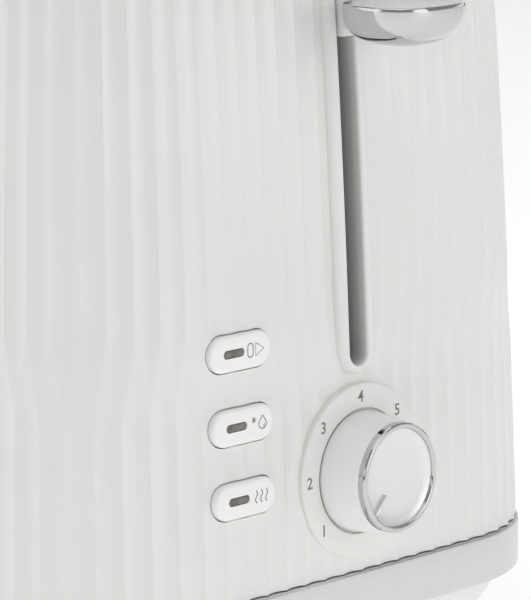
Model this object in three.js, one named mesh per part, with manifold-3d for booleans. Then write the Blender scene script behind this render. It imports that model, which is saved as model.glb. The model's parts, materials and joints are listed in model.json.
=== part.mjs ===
// Two-slot pop-up toaster with a fluted casing, as an assembly of separate pieces.
// Millimetres, +Z up. The lever end faces +X and the long sides face -Y and +Y.
// Everything is placed about the casing's own middle; the last group moves it so
// that the origin is under the middle of the whole object, lever included.
import * as THREE from 'three';
import { mergeVertices } from 'three/addons/utils/BufferGeometryUtils.js';
import Module from 'manifold-3d';

const wasm = await Module();
wasm.setup();

// ---------------------------------------------------------------- driving dimensions
const bodyLength = 291.2;
const bodyWidth = 178;
const bodyHeight = 195;
const cornerRadius = 42.7;
const endBow = 1.45;
const gap = 0.3;

// Casing: sides lean in as they rise, then round over into the top
const casingFoot = 30;
const sideLean = 3.25;
const sideCurve = 0.6;
const shoulderDrop = 23;
const shoulderReach = 20;
const casingWall = 2.2;
const topRim = 2;
const fluteCount = 126;
const fluteDepth = 1.1;
const zigzagLow = 79;
const zigzagHigh = 95;

// Foot of the toaster
const bandBottom = 17.5;
const bandProud = 0.6;
const bandWall = 4.2;
const panBottom = 5;
const panFloor = 2.2;
const panWall = 2.2;
const footRadius = 9;
const footInset = 44;
const screwShank = 1.8;
const screwHead = 3.5;
const screwHeadHeight = 1.7;

// Lever
const leverWidth = 28.8;
const leverDepth = 26.6;
const leverSquareness = 2.6;
const leverThickness = 10.4;
const leverBelowTop = 27.8;
const leverStandoff = 19.9;
const armWidth = 5.2;
const armHeight = 9.5;
const neckHeight = 5;
const neckInKnob = 8;
const slotSideSpace = 0.6;
const slotAboveDial = 2.1;
const slotEndSpace = 2.9;
const surroundSide = 3.5;
const surroundBottom = 2.4;
const surroundProud = 1.4;

// Browning dial
const dialAboveBand = 3.2;
const dialScaleRadius = 22;
const dialScaleThickness = 4.2;
const dialScaleProud = 0.9;
const dialScaleRim = 0.8;
const dialRecess = 0.9;
const dialRecessSpace = 0.5;
const dialBackRadius = 15.3;
const dialFrontRadius = 13.8;
const dialLength = 13.4;
const dialLip = 2;
const spindleRadius = 3;
const pointerAngle = 225;

// Buttons and the light windows in them
const buttonWidth = 21.2;
const buttonHeight = 9;
const buttonFromDial = 9.05;
const buttonSpace = 8.9;
const buttonProud = 1;
const buttonDepth = 6;
const buttonTravel = 1.5;
const windowWidth = 7.1;
const windowHeight = 1.9;
const windowThickness = 1;
const windowOffset = -2.65;

// Works
const sheet = 1;
const frontBay = 56;
const rearBay = 56;
const worksUnderShoulder = 3.5;
const chassisBottom = 24;
const chassisBelowTop = 5;
const chassisFlange = 22;
const shieldInset = 8;
const heaterInset = 6.5;
const heaterThickness = 1;
const heaterBottom = 46;
const heaterBelowTop = 23;
const elementWidth = 2;
const elementThickness = 0.6;
const elementRuns = 8;
const guardFromHeater = 11;
const guardThickness = 1.6;
const guardBottom = 54;
const guardBelowTop = 17;
const guardBars = 11;
const guardWire = 2;
const centreBar = 22;
const guardInsideSlot = 2.5;
const breadSlotEnd = 13.1;
const topPlateThickness = 1.5;
const topPlateDrop = 1.5;
const slotFlangeDepth = 10;
const rodRadius = 2;
const rodFromChassis = 12;
const carriageDepth = 10;
const rackThickness = 1.5;
const rackHeight = 9;
const rackLowest = 42;
const rackNotches = 9;
const springRadius = 3.4;
const springWire = 0.8;
const springTurns = 9;
const boardFromFace = 26;
const boardThickness = 1.6;
const trayFromWorks = 16;
const trayHeight = 9;
const trayFrontSpace = 64;
const glandRadius = 6;
const glandBore = 3.5;
const glandLength = 8;
const glandFromCage = 28;
const glandFromSide = 4;
const glandBelowPan = 1.5;
const panForm = [[0, 14], [3, 9.5], [7, 7], [12.2, 5]];
const screwFromSide = 5;
const screwAboveFlange = 3;
const trayFromEnd = 15;
const fingerHoldHalf = 22;
const fingerHoldDepth = 10;
const fingerHoldFloor = 3;
const bladeBeyondSurround = 2;
const columnInsideRack = 8;
const rodFromColumnEnd = 5;
const rodBelowChassis = 3;
const rodAboveChassis = 1.2;
const barBeyondRack = 4;
const barAroundRack = 1;
const rackEndSpace = 4;
const rackNotchDepth = 2.5;
const rackSlotSpace = 1;
const rackSlotEnd = 3;
const latchWidth = 12;
const latchBelowArm = 16;
const latchHeight = 10;
const latchReach = 10;
const latchThickness = 1.5;
const coilHalfDepth = 4.5;
const coilHalfWidth = 5;
const coreHalf = 2;
const coreAboveCoil = 2;
const magnetHeight = 21;
const yokeThickness = 3;
const topFlangeShorter = 4;
const topFlangeBeyondRack = 6;
const shieldAboveFoot = 6;
const shieldBelowTop = 2;
const elementEndSpace = 12;
const elementAboveCard = 10;
const elementBelowCard = 8;
const guardEndSpace = 1;
const controlDepth = 9;
const controlHalf = 10;
const switchHalf = 3;
const stemHalf = 2;
const stemInCap = 1;
const boardBeyondButton = 14;
const boardInsideButton = 20;
const boardAboveButton = 8;
const boardBelowDial = 15;
const boardBesideColumn = 6;
const boardBelowSlot = 3;
const pointerStart = 5.5;
const pointerEnd = 10.6;
const pointerHalf = 0.5;
const outlineSteps = 84;

// ---------------------------------------------------------------- finishes
const finish = (color, roughness, metalness) =>
  new THREE.MeshStandardMaterial({ color, roughness, metalness, flatShading: true });
const whitePlastic = finish(0xe8e7e3, 0.35, 0);
const chrome = finish(0xd9dbdd, 0.12, 1);
const satinSilver = finish(0xc6c6c4, 0.35, 1);
const brushedSteel = finish(0xb9bbbd, 0.4, 1);
const galvanised = finish(0xa9adb0, 0.5, 1);
const mica = finish(0xb59a72, 0.7, 0);
const resistanceWire = finish(0x6c6762, 0.5, 1);
const smokedWindow = finish(0x837d77, 0.3, 0);
const boardGreen = finish(0x2f6b45, 0.6, 0);
const darkPlastic = finish(0x2a2a2c, 0.6, 0);
const copper = finish(0xb06a3a, 0.35, 1);
const rubber = finish(0x8d8d8b, 0.8, 0);

// ---------------------------------------------------------------- joining and cutting
function solid(geometry) {
  const bare = geometry.clone();
  bare.deleteAttribute('normal');
  bare.deleteAttribute('uv');
  const merged = mergeVertices(bare, 1e-4);
  return new wasm.Manifold(new wasm.Mesh({
    numProp: 3,
    vertProperties: new Float32Array(merged.attributes.position.array),
    triVerts: new Uint32Array(merged.index.array),
  }));
}

function geometryOf(manifold) {
  const mesh = manifold.getMesh();
  const geometry = new THREE.BufferGeometry();
  geometry.setAttribute('position', new THREE.BufferAttribute(mesh.vertProperties, 3));
  geometry.setIndex(new THREE.BufferAttribute(mesh.triVerts, 1));
  geometry.computeVertexNormals();
  return geometry;
}

const cut = (base, ...tools) =>
  geometryOf(tools.reduce((left, tool) => left.subtract(solid(tool)), solid(base)));
const join = (base, ...others) =>
  geometryOf(others.reduce((whole, other) => whole.add(solid(other)), solid(base)));
const overlap = (a, b) => geometryOf(solid(a).intersect(solid(b)));

// ---------------------------------------------------------------- basic shapes
function box(x0, x1, y0, y1, z0, z1) {
  const geometry = new THREE.BoxGeometry(x1 - x0, y1 - y0, z1 - z0);
  return geometry.translate((x0 + x1) / 2, (y0 + y1) / 2, (z0 + z1) / 2);
}

// A cylinder standing on z0 at (x, y)
function upright(x, y, radius, z0, z1, sides = 16) {
  const geometry = new THREE.CylinderGeometry(radius, radius, z1 - z0, sides);
  return geometry.rotateX(Math.PI / 2).translate(x, y, (z0 + z1) / 2);
}

// A cylinder along +X, centred on (y, z)
function lengthwise(y, z, radius, x0, x1, sides = 32) {
  const geometry = new THREE.CylinderGeometry(radius, radius, x1 - x0, sides);
  return geometry.rotateZ(-Math.PI / 2).translate((x0 + x1) / 2, y, z);
}

// A profile of [radius, distance] points turned about an axis along +X through (y, z)
function turnedAlongX(profile, x, y, z, sides = 36) {
  const points = profile.map(([radius, along]) => new THREE.Vector2(radius, along));
  return new THREE.LatheGeometry(points, sides).rotateZ(-Math.PI / 2).translate(x, y, z);
}

// A flat outline in Y and Z, extruded along +X
function extrudedAlongX(outline, x0, x1) {
  const axes = new THREE.Matrix4().makeBasis(
    new THREE.Vector3(0, 1, 0), new THREE.Vector3(0, 0, 1), new THREE.Vector3(1, 0, 0));
  const geometry = new THREE.ExtrudeGeometry(outline, {
    depth: x1 - x0, bevelEnabled: false, curveSegments: 6,
  });
  return geometry.applyMatrix4(axes).translate(x0, 0, 0);
}

// A flat outline in X and Z, extruded along Y
function extrudedAlongY(outline, y0, y1) {
  const axes = new THREE.Matrix4().makeBasis(
    new THREE.Vector3(1, 0, 0), new THREE.Vector3(0, 0, 1), new THREE.Vector3(0, -1, 0));
  const geometry = new THREE.ExtrudeGeometry(outline, {
    depth: y1 - y0, bevelEnabled: false, curveSegments: 8,
  });
  return geometry.applyMatrix4(axes).translate(0, y1, 0);
}

// A flat outline in X and Y, extruded upwards
function extrudedUp(outline, z0, z1) {
  const geometry = new THREE.ExtrudeGeometry(outline, {
    depth: z1 - z0, bevelEnabled: false, curveSegments: 6,
  });
  return geometry.translate(0, 0, z0);
}

// An outline with two straight sides and round ends, lying along its longer side
function pill(centreX, centreY, width, height) {
  const radius = Math.min(width, height) / 2;
  const x = width / 2 - radius;
  const y = height / 2 - radius;
  const outline = new THREE.Shape();
  if (width > height) {
    outline.moveTo(centreX - x, centreY - radius);
    outline.lineTo(centreX + x, centreY - radius);
    outline.absarc(centreX + x, centreY, radius, -Math.PI / 2, Math.PI / 2);
    outline.lineTo(centreX - x, centreY + radius);
    outline.absarc(centreX - x, centreY, radius, Math.PI / 2, 1.5 * Math.PI);
  } else {
    outline.moveTo(centreX + radius, centreY - y);
    outline.lineTo(centreX + radius, centreY + y);
    outline.absarc(centreX, centreY + y, radius, 0, Math.PI);
    outline.lineTo(centreX - radius, centreY - y);
    outline.absarc(centreX, centreY - y, radius, Math.PI, 2 * Math.PI);
  }
  return outline;
}

// Pushes a round plan out towards a square one with rounded corners
function squaredPlan(geometry, power) {
  const position = geometry.attributes.position;
  for (let i = 0; i < position.count; i += 1) {
    const x = position.getX(i);
    const y = position.getY(i);
    const radius = Math.hypot(x, y) || 1;
    const reach = (Math.abs(x / radius) ** power + Math.abs(y / radius) ** power || 1) ** (-1 / power);
    position.setXY(i, x * reach, y * reach);
  }
  return geometry;
}

// ---------------------------------------------------------------- the casing's form
// How far the side stands in from the foot's outline at a height
function sideInset(z) {
  const rise = (z - casingFoot) / 100;
  return sideLean * rise + sideCurve * rise ** 3;
}

const shoulderZ = bodyHeight - shoulderDrop;
const topInset = sideInset(shoulderZ) + shoulderReach;
const openingInset = topInset + topRim;
const straightHalf = bodyLength / 2 - endBow;
const bowAt = (y) => endBow * (1 - (y / (bodyWidth / 2)) ** 2);
const faceX = (z, y = 0) => straightHalf + bowAt(y) - sideInset(z);

// The point at a distance along the foot's outline, from the middle of the lever
// end towards +Y, moved inwards by an inset
function outlinePoint(distance, inset) {
  const straightEnd = bodyWidth / 2 - cornerRadius;
  const corner = cornerRadius * Math.PI / 2;
  const straightSide = straightHalf - cornerRadius;
  const quarter = straightEnd + corner + straightSide;
  const turn = Math.floor(distance / quarter) % 4;
  const mirrored = turn % 2 === 1;
  const along = mirrored ? quarter - (distance % quarter) : distance % quarter;
  let x = straightHalf - inset;
  let y = along;
  if (along > straightEnd + corner) {
    x = straightSide - (along - straightEnd - corner);
    y = bodyWidth / 2 - inset;
  } else if (along > straightEnd) {
    const angle = (along - straightEnd) / cornerRadius;
    x = straightSide + (cornerRadius - inset) * Math.cos(angle);
    y = straightEnd + (cornerRadius - inset) * Math.sin(angle);
  }
  const signX = turn === 1 || turn === 2 ? -1 : 1;
  const signY = turn === 2 || turn === 3 ? -1 : 1;
  return [signX * (x + bowAt(y) * Math.min(1, x / straightSide)), signY * y];
}

const outlineLength = 2 * (2 * straightHalf + bodyWidth) - (8 - 2 * Math.PI) * cornerRadius;

// The foot's outline moved inwards by an inset, as a flat shape
function outlineShape(inset, Path = THREE.Shape) {
  const path = new Path();
  const points = Array.from({ length: outlineSteps }, (_, step) =>
    new THREE.Vector2(...outlinePoint(step / outlineSteps * outlineLength, inset)));
  return path.setFromPoints(points);
}

// A closed body whose rows follow the foot's outline at their own height and inset.
// Row flutes: 1 has ridges on the even columns, -1 on the odd ones, 0 has none.
function outlineBody(rows, columns) {
  const bands = rows.length - 1;
  const geometry = new THREE.CylinderGeometry(1, 1, bands, columns, bands);
  const position = geometry.attributes.position;
  for (let i = 0; i < position.count; i += 1) {
    const row = rows[Math.round(position.getY(i) + bands / 2)];
    const across = position.getX(i);
    const ahead = position.getZ(i);
    if (Math.hypot(across, ahead) < 0.5) {
      position.setXYZ(i, 0, 0, row.z);
      continue;
    }
    const turn = (Math.atan2(across, ahead) / (2 * Math.PI) + 1) % 1;
    const column = Math.round(turn * columns) % columns;
    const inValley = (column % 2 === 0) === (row.flutes < 0) && row.flutes !== 0;
    const inset = row.inset + (inValley ? fluteDepth : 0);
    const [x, y] = outlinePoint(column / columns * outlineLength, inset);
    position.setXYZ(i, x, y, row.z);
  }
  return geometry;
}

// Rows of the casing's side and shoulder, moved inwards by an offset
function casingRows(sideHeights, shoulderSteps, offset, flutes) {
  const sides = sideHeights.map((z) => ({
    z, inset: sideInset(z) + offset, flutes: flutes * (z > (zigzagLow + zigzagHigh) / 2 ? -1 : 1),
  }));
  const shoulder = Array.from({ length: shoulderSteps + 1 }, (_, step) => {
    const angle = step / shoulderSteps * Math.PI / 2;
    return {
      z: shoulderZ + (shoulderDrop - offset) * Math.sin(angle),
      inset: topInset - (shoulderReach - offset) * Math.cos(angle),
      flutes: step < shoulderSteps ? -flutes : 0,
    };
  });
  return [...sides, ...shoulder];
}

// ---------------------------------------------------------------- places worked out from the sizes
const worksHalf = bodyWidth / 2 - topInset + worksUnderShoulder;
const shieldY = worksHalf - shieldInset;
const heaterY = shieldY - heaterInset;
const outerGuardY = heaterY - guardFromHeater;
const slotOuterY = outerGuardY + guardInsideSlot;
const slotInnerY = centreBar / 2;
const slotCentreY = (slotOuterY + slotInnerY) / 2;
const innerGuardY = slotInnerY + guardInsideSlot;
const cageFront = bodyLength / 2 - frontBay;
const cageRear = -(bodyLength / 2 - rearBay);
const breadSlotRear = cageRear + breadSlotEnd;
const breadSlotFront = cageFront - breadSlotEnd;
const trayHalfWidth = worksHalf - trayFromWorks;
const chassisTop = bodyHeight - chassisBelowTop;

const slotWidth = armWidth + 2 * slotSideSpace;
const dialHeight = casingFoot + dialScaleRadius + dialAboveBand;
const slotBottom = dialHeight + dialScaleRadius + surroundBottom + slotAboveDial;
const leverZ = bodyHeight - leverBelowTop;
const armTop = leverZ + leverThickness / 2;
const armBottom = armTop - armHeight;
const leverX = faceX(leverZ) + leverStandoff;
const leverTravel = armBottom - slotBottom - slotEndSpace;
const slotTop = armTop + slotEndSpace;
const rackRest = rackLowest + leverTravel;
const rodX = cageFront + rodFromChassis;
const carriageBack = rodX - carriageDepth / 2;
const carriageFront = rodX + carriageDepth / 2;
const columnHalf = slotCentreY - columnInsideRack;
const rodY = columnHalf - rodFromColumnEnd;
const springZ = [rackRest + rackHeight + barAroundRack + 2 * gap, chassisTop - sheet - gap];

const boardFront = bodyLength / 2 - boardFromFace + boardThickness;
const dialFace = faceX(dialHeight) + dialScaleProud;
const dialBack = dialFace - dialRecess + gap;
const controlFront = boardFront + gap + controlDepth;
const screwPlaces = [-1, 1].flatMap((sx) => [-1, 1].map((sy) => [
  sx * (cageFront + rodFromChassis), sy * (worksHalf - screwFromSide)]));
const footPlaces = [-1, 1].flatMap((sx) => [-1, 1].map((sy) => [
  sx * (bodyLength / 2 - footInset), sy * (bodyWidth / 2 - footInset)]));
const buttonNames = ['reheat', 'defrost', 'cancel'];
const buttonZ = (index) => dialHeight + index * (buttonHeight + buttonSpace);
const buttonSide = -(dialScaleRadius + buttonFromDial + buttonWidth / 2);

// ---------------------------------------------------------------- assembly
const toaster = new THREE.Group();

function add(name, geometry, material) {
  const mesh = new THREE.Mesh(geometry, material.clone());
  mesh.name = name;
  toaster.add(mesh);
  return mesh;
}

// ---------------------------------------------------------------- casing, lever surround, top
const surroundOuter = (spare) => {
  const low = slotBottom - surroundBottom - spare;
  const high = slotTop + surroundBottom + spare;
  return pill(0, (low + high) / 2, slotWidth + 2 * (surroundSide + spare), high - low);
};

function buildCasing() {
  const heights = [casingFoot, zigzagLow, zigzagHigh, (zigzagHigh + shoulderZ) / 2];
  const outer = outlineBody(casingRows(heights, 3, 0, 1), 2 * fluteCount);
  const depth = casingWall + fluteDepth;
  const inner = outlineBody(casingRows([casingFoot - 5, ...heights.slice(2)], 3, depth, 0), 56);
  const through = bodyLength / 2 - 20;
  const ahead = bodyLength / 2 + 10;
  const buttonHoles = buttonNames.map((_, index) => extrudedAlongX(
    pill(buttonSide, buttonZ(index), buttonWidth + 2 * gap, buttonHeight + 2 * gap), through, ahead));
  add('body_shell', cut(outer, inner,
    extrudedUp(outlineShape(openingInset), bodyHeight - slotFlangeDepth, bodyHeight + 1),
    extrudedAlongX(surroundOuter(gap), through, ahead),
    lengthwise(0, dialHeight, dialScaleRadius + gap, through, ahead),
    ...buttonHoles), whitePlastic);

  const heightsAtSlot = [casingFoot, zigzagLow, (zigzagHigh + shoulderZ) / 2];
  const proud = outlineBody(casingRows(heightsAtSlot, 3, -surroundProud, 0), 32);
  const behind = outlineBody(casingRows([casingFoot - 5, ...heightsAtSlot.slice(1)], 3, depth, 0), 32);
  const frame = overlap(proud, extrudedAlongX(surroundOuter(0), through, ahead));
  const slot = pill(0, (slotBottom + slotTop) / 2, slotWidth, slotTop - slotBottom);
  add('lever_surround', cut(frame, behind, extrudedAlongX(slot, through, ahead)), whitePlastic);
}

function buildTopPlate() {
  const top = bodyHeight - topPlateDrop;
  const plate = extrudedUp(outlineShape(openingInset + gap), top - topPlateThickness, top);
  const flanges = [];
  const holes = [];
  for (const side of [-1, 1]) {
    const y0 = Math.min(side * slotInnerY, side * slotOuterY);
    const y1 = Math.max(side * slotInnerY, side * slotOuterY);
    flanges.push(box(breadSlotRear - sheet, breadSlotFront + sheet, y0 - sheet, y1 + sheet,
      top - slotFlangeDepth, top - topPlateThickness / 2));
    holes.push(box(breadSlotRear, breadSlotFront, y0, y1, top - slotFlangeDepth - 1, top + 1));
  }
  add('top_plate', cut(join(plate, ...flanges), ...holes), brushedSteel);
}

// ---------------------------------------------------------------- band, base, feet, screws, tray
const panRows = (offset, floor) => panForm.map(([rise, inset]) => (
  { z: Math.max(panBottom + rise, floor), inset: inset + offset, flutes: 0 }));

function buildFoot() {
  const band = outlineShape(-bandProud);
  band.holes.push(outlineShape(bandWall - bandProud, THREE.Path));
  add('trim_band', extrudedUp(band, bandBottom, casingFoot - gap), satinSilver);

  const outer = outlineBody(panRows(0, 0), 40);
  const floorTop = panBottom + panFloor;
  const hollow = panRows(panWall, floorTop);
  hollow[hollow.length - 1].z = bandBottom + 1;
  const bay = box(-bodyLength, cageRear, -trayHalfWidth - gap, trayHalfWidth + gap,
    floorTop, bandBottom + 1);
  const glandPlace = [cageRear + glandFromCage, worksHalf - glandFromSide];
  const glandLow = panBottom - glandBelowPan;
  const holes = screwPlaces.map(([x, y]) => upright(x, y, screwShank + gap, 0, chassisBottom, 12));
  add('base_pan', cut(outer, outlineBody(hollow, 40), bay,
    upright(...glandPlace, glandRadius + gap, 0, chassisBottom, 20), ...holes), whitePlastic);

  const gland = cut(upright(...glandPlace, glandRadius, glandLow, glandLow + glandLength, 20),
    upright(...glandPlace, glandBore, 0, chassisBottom, 20));
  add('cord_gland', gland, darkPlastic);

  screwPlaces.forEach(([x, y], index) => {
    const headTop = panBottom - gap;
    const screwTop = chassisBottom + screwAboveFlange;
    const profile = [[0, headTop - screwHeadHeight], [screwHead, headTop - screwHeadHeight],
      [screwHead, headTop], [screwShank, headTop], [screwShank, screwTop], [0, screwTop]];
    const points = profile.map(([radius, z]) => new THREE.Vector2(radius, z));
    const screw = new THREE.LatheGeometry(points, 12).rotateX(Math.PI / 2);
    add(`base_screw_${index + 1}`, screw, galvanised).position.set(x, y, 0);
  });
  footPlaces.forEach(([x, y], index) => {
    add(`foot_${index + 1}`, upright(0, 0, footRadius, 0, panBottom - gap, 20), rubber)
      .position.set(x, y, 0);
  });

  const trayBottom = floorTop + gap;
  const trayTop = trayBottom + trayHeight;
  const back = -(bodyLength / 2 - trayFromEnd);
  const front = bodyLength / 2 - trayFrontSpace;
  const pan = cut(box(back, front, -trayHalfWidth, trayHalfWidth, trayBottom, trayTop),
    box(back + sheet, front - sheet, -trayHalfWidth + sheet, trayHalfWidth - sheet,
      trayBottom + sheet, trayTop + 1));
  const handle = overlap(outer, box(-bodyLength, back + sheet / 2, -trayHalfWidth, trayHalfWidth,
    trayBottom, trayTop));
  const fingerHold = box(-bodyLength, -(bodyLength / 2 - fingerHoldDepth), -fingerHoldHalf, fingerHoldHalf,
    trayBottom + fingerHoldFloor, trayTop + 1);
  add('crumb_tray', join(pan, cut(handle, fingerHold)), whitePlastic);
}

// ---------------------------------------------------------------- lever, carriage and what rides on it
function buildCarriage() {
  const half = leverThickness / 2;
  const bowl = [[0, -1], [0.35, -0.95], [0.65, -0.73], [0.855, -0.35], [0.973, 0.2], [1, 0.85],
    [0.96, 1], [0, 1]];
  const points = bowl.map(([radius, rise]) => new THREE.Vector2(radius, rise * half));
  const paddle = squaredPlan(new THREE.LatheGeometry(points, 32).rotateX(Math.PI / 2), leverSquareness)
    .scale(leverDepth / 2, leverWidth / 2, 1).translate(leverX, 0, leverZ);
  const neckEnd = leverX - leverDepth / 2 + neckInKnob;
  const neckLow = leverZ - neckHeight / 2;
  const neckHigh = leverZ + neckHeight / 2;
  const pocket = box(leverX - leverDepth, neckEnd + gap, -armWidth / 2 - gap, armWidth / 2 + gap,
    neckLow - gap, neckHigh + gap);
  add('lever_knob', cut(paddle, pocket), chrome);

  const armEnd = faceX(leverZ) + surroundProud + bladeBeyondSurround;
  const blade = box(carriageFront + gap, armEnd, -armWidth / 2, armWidth / 2, armBottom, armTop);
  const neck = box(armEnd - 1, neckEnd, -armWidth / 2, armWidth / 2, neckLow, neckHigh);
  add('lever_arm', join(blade, neck), satinSilver);

  const barHalf = slotCentreY + barBeyondRack;
  const column = box(carriageBack, carriageFront, -columnHalf, columnHalf, rackRest, armTop);
  const bar = box(carriageBack, carriageFront, -barHalf, barHalf,
    rackRest - barAroundRack, rackRest + rackHeight + barAroundRack);
  const bores = [-1, 1].map((side) => upright(rodX, side * rodY, rodRadius + gap, 0, bodyHeight));
  add('carriage', cut(join(column, bar), ...bores), galvanised);

  for (const [name, side] of [['left', -1], ['right', 1]]) {
    const x0 = breadSlotRear + rackEndSpace;
    const x1 = breadSlotFront - rackEndSpace;
    const notch = (x1 - x0) / rackNotches;
    const outline = new THREE.Shape();
    outline.moveTo(x0, rackRest);
    outline.lineTo(carriageBack - gap, rackRest);
    outline.lineTo(carriageBack - gap, rackRest + rackHeight);
    outline.lineTo(x1, rackRest + rackHeight);
    for (let i = rackNotches - 1; i >= 0; i -= 1) {
      outline.lineTo(x0 + (i + 0.5) * notch, rackRest + rackHeight - rackNotchDepth);
      outline.lineTo(x0 + i * notch, rackRest + rackHeight);
    }
    const centre = side * slotCentreY;
    add(`rack_${name}`, extrudedAlongY(outline, centre - rackThickness / 2, centre + rackThickness / 2),
      galvanised);
  }

  const latchX = carriageFront + gap;
  const latchY = [columnHalf - latchWidth, columnHalf];
  const latchZ = (armTop + armBottom) / 2 - latchBelowArm;
  const tab = box(latchX, latchX + sheet, ...latchY, latchZ, latchZ + latchHeight);
  const keeper = box(latchX, latchX + latchReach, ...latchY, latchZ, latchZ + latchThickness);
  add('latch_plate', join(tab, keeper), galvanised);

  const poleTop = latchZ - leverTravel - gap;
  const yokeLow = poleTop - magnetHeight;
  const yokeHigh = yokeLow + yokeThickness;
  const middleX = latchX + sheet + coilHalfDepth;
  const middleY = (latchY[0] + latchY[1]) / 2;
  const bore = coreHalf + gap;
  const yokeBase = box(middleX - coilHalfDepth, middleX + coilHalfDepth, ...latchY, yokeLow, yokeHigh);
  const core = box(middleX - coreHalf, middleX + coreHalf, middleY - coreHalf, middleY + coreHalf,
    yokeHigh - sheet, poleTop);
  add('magnet_yoke', join(yokeBase, core), galvanised);
  const bobbin = box(middleX - coilHalfDepth, middleX + coilHalfDepth,
    middleY - coilHalfWidth, middleY + coilHalfWidth, yokeHigh + gap, poleTop - coreAboveCoil);
  add('magnet_coil', cut(bobbin,
    box(middleX - bore, middleX + bore, middleY - bore, middleY + bore, 0, bodyHeight)), copper);
}

class Helix extends THREE.Curve {
  getPoint(t, target = new THREE.Vector3()) {
    const angle = t * springTurns * 2 * Math.PI;
    const reach = springZ[1] - springZ[0] - 2 * springWire;
    return target.set(springRadius * Math.cos(angle), springRadius * Math.sin(angle),
      springZ[0] + springWire + t * reach);
  }
}

function buildGuides() {
  for (const [name, side] of [['left', -1], ['right', 1]]) {
    add(`guide_rod_${name}`, upright(rodX, side * rodY, rodRadius,
      chassisBottom - rodBelowChassis, chassisTop + rodAboveChassis, 12), galvanised);
  }
  const wire = new THREE.Shape().absarc(0, 0, springWire / 2, 0, 2 * Math.PI);
  const coil = new THREE.ExtrudeGeometry(wire, {
    steps: springTurns * 7, extrudePath: new Helix(), bevelEnabled: false, curveSegments: 3,
  });
  add('lift_spring', coil, galvanised).position.set(rodX, slotCentreY - gap, 0);
}

// ---------------------------------------------------------------- chassis, shields, heaters, guards
function buildChassis() {
  const slotHalf = rackThickness / 2 + rackSlotSpace;
  const topFlangeHalf = slotCentreY + topFlangeBeyondRack;
  const flangeX = cageFront + chassisFlange;
  const plate = box(cageFront, cageFront + sheet, -worksHalf, worksHalf, chassisBottom, chassisTop);
  const lowFlange = box(cageFront, flangeX, -worksHalf, worksHalf, chassisBottom, chassisBottom + sheet);
  const highFlange = box(cageFront, flangeX - topFlangeShorter, -topFlangeHalf, topFlangeHalf,
    chassisTop - sheet, chassisTop);
  const rackSlots = [-1, 1].map((side) => box(cageFront - 1, cageFront + sheet + 1,
    side * slotCentreY - slotHalf, side * slotCentreY + slotHalf,
    rackLowest - rackSlotEnd, rackRest + rackHeight + rackSlotEnd));
  const rodHoles = [-1, 1].map((side) => upright(rodX, side * rodY, rodRadius + gap, 0, bodyHeight, 12));
  const screwHoles = screwPlaces.map(([x, y]) => upright(x, y, screwShank + gap, 0, casingFoot, 12));
  add('chassis_front', cut(join(plate, lowFlange, highFlange), ...rackSlots, ...rodHoles, ...screwHoles),
    galvanised);

  const rearPlate = box(cageRear - sheet, cageRear, -worksHalf, worksHalf, chassisBottom, chassisTop);
  const rearFlange = box(cageRear - chassisFlange, cageRear, -worksHalf, worksHalf,
    chassisBottom, chassisBottom + sheet);
  add('chassis_rear', cut(join(rearPlate, rearFlange), ...screwHoles), galvanised);
}

function elementGeometry(x0, x1, z0, z1) {
  const step = (z1 - z0 - elementWidth) / (elementRuns - 1);
  const pieces = [];
  for (let i = 0; i < elementRuns; i += 1) {
    const z = z0 + i * step;
    pieces.push(box(x0, x1, 0, elementThickness, z, z + elementWidth));
    if (i < elementRuns - 1) {
      const x = i % 2 === 0 ? x1 - elementWidth : x0;
      pieces.push(box(x, x + elementWidth, 0, elementThickness, z, z + step + elementWidth));
    }
  }
  return join(...pieces);
}

function buildCage() {
  const inFront = cageFront - gap;
  const inRear = cageRear + gap;
  for (const [name, side] of [['left', -1], ['right', 1]]) {
    const y = side * shieldY;
    add(`shield_${name}`, box(inRear, inFront, y - sheet / 2, y + sheet / 2,
      casingFoot + shieldAboveFoot, chassisTop - shieldBelowTop), brushedSteel);
  }

  const heaterTop = bodyHeight - heaterBelowTop;
  const half = heaterThickness / 2;
  const cards = { left: -heaterY, centre: 0, right: heaterY };
  for (const [name, y] of Object.entries(cards)) {
    add(`heater_card_${name}`, box(inRear, inFront, y - half, y + half, heaterBottom, heaterTop), mica);
  }
  const ribbon = elementGeometry(inRear + elementEndSpace, inFront - elementEndSpace,
    heaterBottom + elementAboveCard, heaterTop - elementBelowCard);
  const offset = half + gap;
  const ribbons = {
    left: -heaterY + offset,
    centre_left: -offset - elementThickness,
    centre_right: offset,
    right: heaterY - offset - elementThickness,
  };
  for (const [name, y] of Object.entries(ribbons)) {
    add(`heating_element_${name}`, ribbon.clone(), resistanceWire).position.y = y;
  }

  const guardRear = breadSlotRear + guardEndSpace;
  const guardFront = breadSlotFront - guardEndSpace;
  const guardTop = bodyHeight - guardBelowTop;
  const pane = (guardFront - guardRear - guardWire) / (guardBars - 1);
  const panes = Array.from({ length: guardBars - 1 }, (_, index) => {
    const x = guardRear + guardWire + index * pane;
    return box(x, x + pane - guardWire, -guardThickness, guardThickness,
      guardBottom + guardWire, guardTop - guardWire);
  });
  const frame = box(guardRear, guardFront, -guardThickness / 2, guardThickness / 2, guardBottom, guardTop);
  const guard = cut(frame, ...panes);
  const guards = {
    left_outer: -outerGuardY, left_inner: -innerGuardY,
    right_inner: innerGuardY, right_outer: outerGuardY,
  };
  for (const [name, y] of Object.entries(guards)) {
    add(`guard_${name}`, guard.clone(), brushedSteel).position.y = y;
  }
}

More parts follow.
